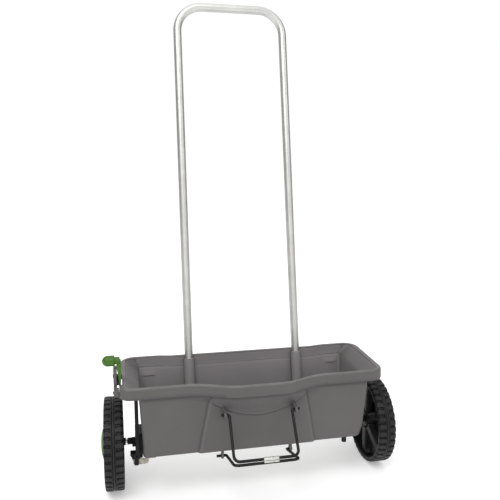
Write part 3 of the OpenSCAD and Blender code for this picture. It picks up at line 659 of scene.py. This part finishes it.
def mark_relief(obj):
    """Vertex attributes: painted shade in the front relief's creases and under the flange, and painted
    highlight on its ridges.
    """
    me = obj.data
    hollow = np.zeros(len(me.vertices), np.float32)
    edge = np.zeros(len(me.vertices), np.float32)
    step = 3.0
    for i, vert in enumerate(me.vertices):
        x, y, z = vert.co.x / MM, vert.co.y / MM - AXLE_Y, vert.co.z / MM
        if z > 243 or z < 77:
            continue
        height = relief(x, z, CRISP)
        outer_y = -wall_front(z) - height
        if y < -60 and abs(y - outer_y) < 1.5:
            beside = relief(x + step, z, CRISP) + relief(x - step, z, CRISP)
            turn = beside + relief(x, z + step, CRISP) + relief(x, z - step, CRISP) - 4 * height
            fade = 1 - ease((z - 226) / 8)
            hollow[i] = min(1, max(0, turn * 0.5)) * fade
            edge[i] = min(1, max(0, -turn * 0.5)) * fade
        if y < outer_y + 1.5 or abs(x) > wall_x(z) - 1.5 or y > wall_rear(z) - 1.5:
            # painted shade under the flange
            under_flange_shade = ease((z - 229) / 9) * (1 - ease((z - 241) / 2)) * (y > -125)
            hollow[i] = max(hollow[i], under_flange_shade)
    for key, values in (("hollow", hollow), ("edge", edge)):
        me.attributes.new(key, "FLOAT", "POINT").data.foreach_set("value", values)


def build_hopper():
    hopper = mesh_object("hopper_moulding", *loft(hopper_rings()), GREY)
    adds = []
    cuts = []
    for side in (-1, 1):
        add_socket(side, adds, cuts)
        add_stand_lugs(side, adds, cuts)
        # holes for the end bearing's nose and its four screws
        cuts.append(along_x(*sorted((side * 230, side * 262)), 16, 0, AXLE_Z, 48))
        for y, z in ((-22, 85), (-22, 118), (22, 85), (22, 118)):
            cuts.append(along_x(*sorted((side * 230, side * 250)), 4, y, z, 24))
    add_lever_webs(adds, cuts)
    # the drop holes in the floor, wider towards the top
    for i in range(-9, 10):
        cuts.append(lathe([(75, 4), (80.6, 4.0), (82, 5.4)], 32, (24 * i, 0, 0), (0, 0, 1)))
    add_gussets(adds)
    combine(hopper, adds, "UNION")
    combine(hopper, cuts, "DIFFERENCE")
    smooth(hopper, 30)
    mark_inside(hopper)
    mark_relief(hopper)
    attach(hopper, "chassis")
    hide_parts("hopper")


build_hopper()


# ---------------------------------------------------------------- wheels

WHEEL_X = 282     # each wheel's inner face
WHEEL_WIDTH = 40
CAP_R = 32.0
BLOCKS = 38       # tread blocks in one row
STEPS = 14        # points round one block
SPOKES = 6
RIB = 13.6        # how far the spokes stand out of the web


def block_mask(theta, u, outer_row):
    """1 inside a tread groove, which jogs sideways part way in.

    u is 0 at the shoulder and 1 at the centre rib.
    """
    t = theta * BLOCKS / (2 * math.pi) + (0.5 if outer_row else 0.0)
    t -= math.floor(t)

    def near(c, half, soft):
        d = abs((t - c + 0.5) % 1.0 - 0.5)
        return 1 - ease((d - half) / soft)

    main = near(0.5, 0.13, 0.06) * (1 - ease((u - 0.82) / 0.08))
    hook = near(0.36, 0.12, 0.05) * ease((u - 0.66) / 0.06) * (1 - ease((u - 0.82) / 0.08))
    return max(main, hook)


def from_shoulder(x):
    """0 at the tyre's nearer shoulder, 1 at the edge of its centre rib."""
    return (x if x < WHEEL_WIDTH / 2 else WHEEL_WIDTH - x) / 17.0


def spoke(theta, r):
    """Height share of the broad ribs, which widen and round off into the hub and rim."""
    best = 0.0
    for k in range(SPOKES):
        a = theta - k * 2 * math.pi / SPOKES
        a = (a + math.pi) % (2 * math.pi) - math.pi
        if abs(a) > math.pi / 2:
            continue
        off = abs(r * math.sin(a))
        half = 9.0 + 7.0 * ease((r - 74) / 14) + 4.0 * ease((32 - r) / 12)
        best = max(best, 1 - ease((off - half + 1.5) / 3.0))
    return best


def wheel_section():
    """Round the section: distance from the wheel's inner face, radius, kind, share of a groove's depth."""
    tread = [(0.0, 92.5, 0), (0.1, 95.0, 0.2), (0.35, 96.6, 0.8), (0.8, 97.9, 1)]
    tread += [(1.4, 98.7, 1), (2.3, 99.25, 1), (4.0, 99.75, 1)]
    tread += [(x, 99.9, 1) for x in (5.4, 6.8, 8.2, 9.6, 11.0, 12.4, 13.8, 15.2)]
    tread += [(16.4, 99.8, 1), (17.0, 98.2, 0.5), (17.6, 98.0, 0.1), (18.1, 99.4, 0), (18.7, 100.0, 0)]
    tread += [(WHEEL_WIDTH - x, r, share) for x, r, share in reversed(tread)]
    outer_rim = [(39.9, 90.4), (39.2, 89.7), (37.2, 89.2), (30, 88.7), (24.5, 88.4), (22.6, 87.6)]
    outer_web = [(22.0, r) for r in (86, 83, 79, 75, 71, 67, 63, 59, 55, 51, 47, 43, 40, 37.5, 35.2, 33.6)]
    cap_seat = [(22.6, 32.8), (23.4, 32.2), (37.6, 32.0), (38.3, 31.6), (38.5, 30.8), (38.3, 29.7)]
    cap_seat += [(37.6, 29.2), (24.6, 29.1), (24.0, 28.4), (24.0, 21)]
    outer_hub = [(24.3, 19.6), (25.2, 19.1), (33.2, 18.9), (33.9, 18.4), (34.0, 17.6), (34.0, 5.0)]
    outer_hub += [(33.4, 4.05)]
    inner_hub = [(-3.4, 4.05), (-4.0, 4.8), (-4.0, 7.3), (-3.4, 8.0), (2.2, 8.2), (2.9, 9.0), (3.2, 17.6)]
    inner_hub += [(3.5, 18.6), (4.4, 19.0), (16.6, 19.4), (17.6, 20.4)]
    inner_web = [(18.0, r) for r in (22.5, *range(26, 83, 4), 85)]
    inner_rim = [(17.4, 87.6), (15.5, 88.4), (8, 88.8), (2.4, 89.3), (0.6, 89.8), (0.05, 90.6)]
    hub = cap_seat + outer_hub + inner_hub
    section = [(x, r, "tread", share) for x, r, share in tread]
    for kind, points in (("plain", outer_rim), ("web_out", outer_web), ("plain", hub),
                         ("web_in", inner_web), ("plain", inner_rim)):
        section += [(x, r, kind, 0) for x, r in points]
    return section


def mark_painted_groove_shade(obj):
    """A vertex attribute of painted shade that is 1 down in the tread and part of that on the wheel's inner
    face.
    """
    painted_groove_shade = np.zeros(len(obj.data.vertices), np.float32)
    for i, vert in enumerate(obj.data.vertices):
        y, z = vert.co.y / MM - AXLE_Y, vert.co.z / MM - AXLE_Z
        r = math.hypot(y, z)
        x = abs(vert.co.x / MM) - WHEEL_X
        if r < 91:
            painted_groove_shade[i] = 0.7 - 0.45 * ease((x - 20) / 2)
        elif 0.5 < x < 39.5 and r > 94:
            painted_groove_shade[i] = min(1.0, 1.15 * block_mask(math.atan2(y, z), from_shoulder(x), x > 20))
    obj.data.attributes.new("painted_groove_shade", "FLOAT", "POINT").data.foreach_set("value", painted_groove_shade)


def build_wheel(name, side, body, node):
    count = BLOCKS * STEPS
    rings = []
    for x, r, kind, share in wheel_section():
        pts = []
        u = from_shoulder(x)
        deep = 2.9 * share * (1 + 0.35 * ease((0.3 - u) / 0.3))
        rib = RIB * (1 - 0.25 * ease((r - 60) / 30))
        for i in range(count):
            t = 2 * math.pi * i / count
            radius = r
            across = x
            if kind == "tread" and share:
                radius = r - deep * block_mask(t, u, x > WHEEL_WIDTH / 2)
            elif kind == "web_out":
                across = x + rib * spoke(t, r) * ease((r - 32.5) / 1.5)
            elif kind == "web_in":
                across = x - rib * spoke(t, r)
            pts.append((side * (WHEEL_X + across), radius * math.sin(t), AXLE_Z + radius * math.cos(t)))
        rings.append(pts)
    obj = mesh_object(name, *loft(rings, closed=True), TYRE)
    if side < 0:
        # the slot for the pin that ties this wheel to the axle
        slot = plate([(-2.1, 85.7), (2.1, 85.7), (2.1, 114.3), (-2.1, 114.3)], -317, -310, 0.01)
        combine(obj, [slot], "DIFFERENCE")
    smooth(obj, 40)
    mark_painted_groove_shade(obj)
    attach(obj, body)
    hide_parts(node)


def build_hub_cap(name, side, body, node):
    """Domed cap with a straight side, a turned step and a shallow ring round its middle."""
    rise = 3.6
    section = []
    for r in (0.0, 3, 6, 7.4, 8.2, 9.0, 10, 13, 17, 21, 24.0, 24.8, 25.6, 27, 29, 30.4, 31.2, 31.7, CAP_R):
        x = 45.0 + rise * (1 - (min(r, 31.4) / 31.4) ** 2)
        x -= 0.5 * math.exp(-((r - 8.2) / 0.7) ** 2)
        x -= 0.55 * (1 - ease((25.6 - r) / 1.4))
        if r > 30:
            x -= 0.9 * ease((r - 30) / 2.0) ** 2
        section.append((x, r))
    section += [(43.0, CAP_R), (39.4, CAP_R), (38.9, 31.8), (38.75, 31.2), (38.75, 28.7), (30.4, 28.6)]
    section += [(30.1, 28.3), (30.1, 27.3), (41.4, 27.0), (43.2, 24), (44.6, 12), (45.0, 0.0)]
    turns = [2 * math.pi * i / 96 for i in range(96)]
    rings = []
    for x, r in section:
        r = max(r, 1e-3)
        rings.append([(side * (WHEEL_X + x), r * math.sin(t), AXLE_Z + r * math.cos(t)) for t in turns])
    obj = mesh_object(name, *loft(rings), GREEN)
    smooth(obj, 40)
    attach(obj, body)
    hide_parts(node)


ENDS = (("left", -1, "drive_axle"), ("right", 1, "free_wheel"))
for label, direction, wheel_body in ENDS:
    build_wheel(f"wheel_{label}_moulding", direction, wheel_body, f"wheel_{label}")
for label, direction, wheel_body in ENDS:
    build_hub_cap(f"hub_cap_{label}_dome", direction, wheel_body, f"hub_cap_{label}")


# ---------------------------------------------------------------- CAD nodes that stay

OWN_FINISH = {"bell_crank_pin": BLACK, "stand_clip": STEEL, "rate_stop": GREY, "quadrant_screws": BLACK}
for node_name, node in frame["nodes"].items():
    if node.hide_render:
        continue
    node.data.materials.clear()
    node.data.materials.append(OWN_FINISH.get(node_name, FINISH[slot_of[node_name]]))


# ---------------------------------------------------------------- stage, light and camera

def build_floor():
    white = Nodes("studio_floor", Specular_IOR_Level=0.2)
    speckle = white.remap(white.noise(3.0, 3.0), 0.3, 0.7)
    base = white.mix(speckle, (0.80, 0.80, 0.80, 1), (0.82, 0.82, 0.82, 1))
    floor_mat = white.finish(base, 0.9)
    white.shader.inputs["Emission Color"].default_value = (1, 1, 1, 1)
    white.shader.inputs["Emission Strength"].default_value = 0.30
    me = bpy.data.meshes.new("studio_floor")
    half = 30.0
    corners = [(-half, -half, 0), (half, -half, 0), (half, half, 0), (-half, half, 0)]
    me.from_pydata(corners, [], [(0, 1, 2, 3)])
    floor = bpy.data.objects.new("studio_floor", me)
    bpy.context.scene.collection.objects.link(floor)
    me.materials.append(floor_mat)


def area(name, pos, target, size, power):
    light = bpy.data.lights.new(name, "AREA")
    light.shape = "RECTANGLE"
    light.size, light.size_y = size
    light.energy = power
    obj = bpy.data.objects.new(name, light)
    bpy.context.scene.collection.objects.link(obj)
    obj.location = pos
    obj.rotation_euler = (Vector(target) - Vector(pos)).to_track_quat("-Z", "Y").to_euler()


def build_world():
    """White behind and in front of the machine, grey flags at both sides."""
    world = bpy.data.worlds.new("studio")
    bpy.context.scene.world = world
    world.use_nodes = True
    tree = world.node_tree
    way = tree.nodes.new("ShaderNodeTexCoord")
    split = tree.nodes.new("ShaderNodeSeparateXYZ")
    tree.links.new(way.outputs["Generated"], split.inputs[0])
    aside = tree.nodes.new("ShaderNodeMath")
    aside.operation = "ABSOLUTE"
    tree.links.new(split.outputs["X"], aside.inputs[0])
    flag = tree.nodes.new("ShaderNodeMapRange")
    flag.interpolation_type = "SMOOTHSTEP"
    tree.links.new(aside.outputs[0], flag.inputs["Value"])
    for key, value in (("From Min", 0.66), ("From Max", 0.86), ("To Min", 1.02), ("To Max", 0.28)):
        flag.inputs[key].default_value = value
    background = tree.nodes["Background"]
    tree.links.new(flag.outputs["Result"], background.inputs["Strength"])
    background.inputs["Color"].default_value = (1, 1, 1, 1)


def place_camera():
    yaw, pitch, roll = math.radians(12.33115), math.radians(10.4), math.radians(0.43995)
    ahead = Vector((math.sin(yaw) * math.cos(pitch), math.cos(yaw) * math.cos(pitch), -math.sin(pitch)))
    level = Vector((math.cos(yaw), -math.sin(yaw), 0))
    upright = level.cross(ahead)
    right = level * math.cos(roll) + upright * math.sin(roll)
    top = -level * math.sin(roll) + upright * math.cos(roll)
    cam = bpy.data.cameras.new("camera")
    cam.sensor_width = 36.0
    cam.lens = 41.96448
    cam.clip_start = 0.05
    cam.clip_end = 200
    camera = bpy.data.objects.new("camera", cam)
    bpy.context.scene.collection.objects.link(camera)
    pose = Matrix((right, top, -ahead)).transposed().to_4x4()
    pose.translation = Vector((-266.725, -1222.046 + AXLE_Y, 751.125)) * MM
    camera.matrix_world = pose
    bpy.context.scene.camera = camera


build_floor()
area("key", (-1.2, -2.0, 3.4), (0, 0, 0.3), (1.8, 1.8), 66)
area("fill", (2.4, -1.6, 2.4), (0, 0, 0.4), (1.6, 2.2), 12)
area("top", (0.2, 0.9, 3.2), (0, 0, 0.3), (2.6, 2.0), 12)
build_world()
place_camera()
bpy.context.scene.view_settings.view_transform = "Standard"
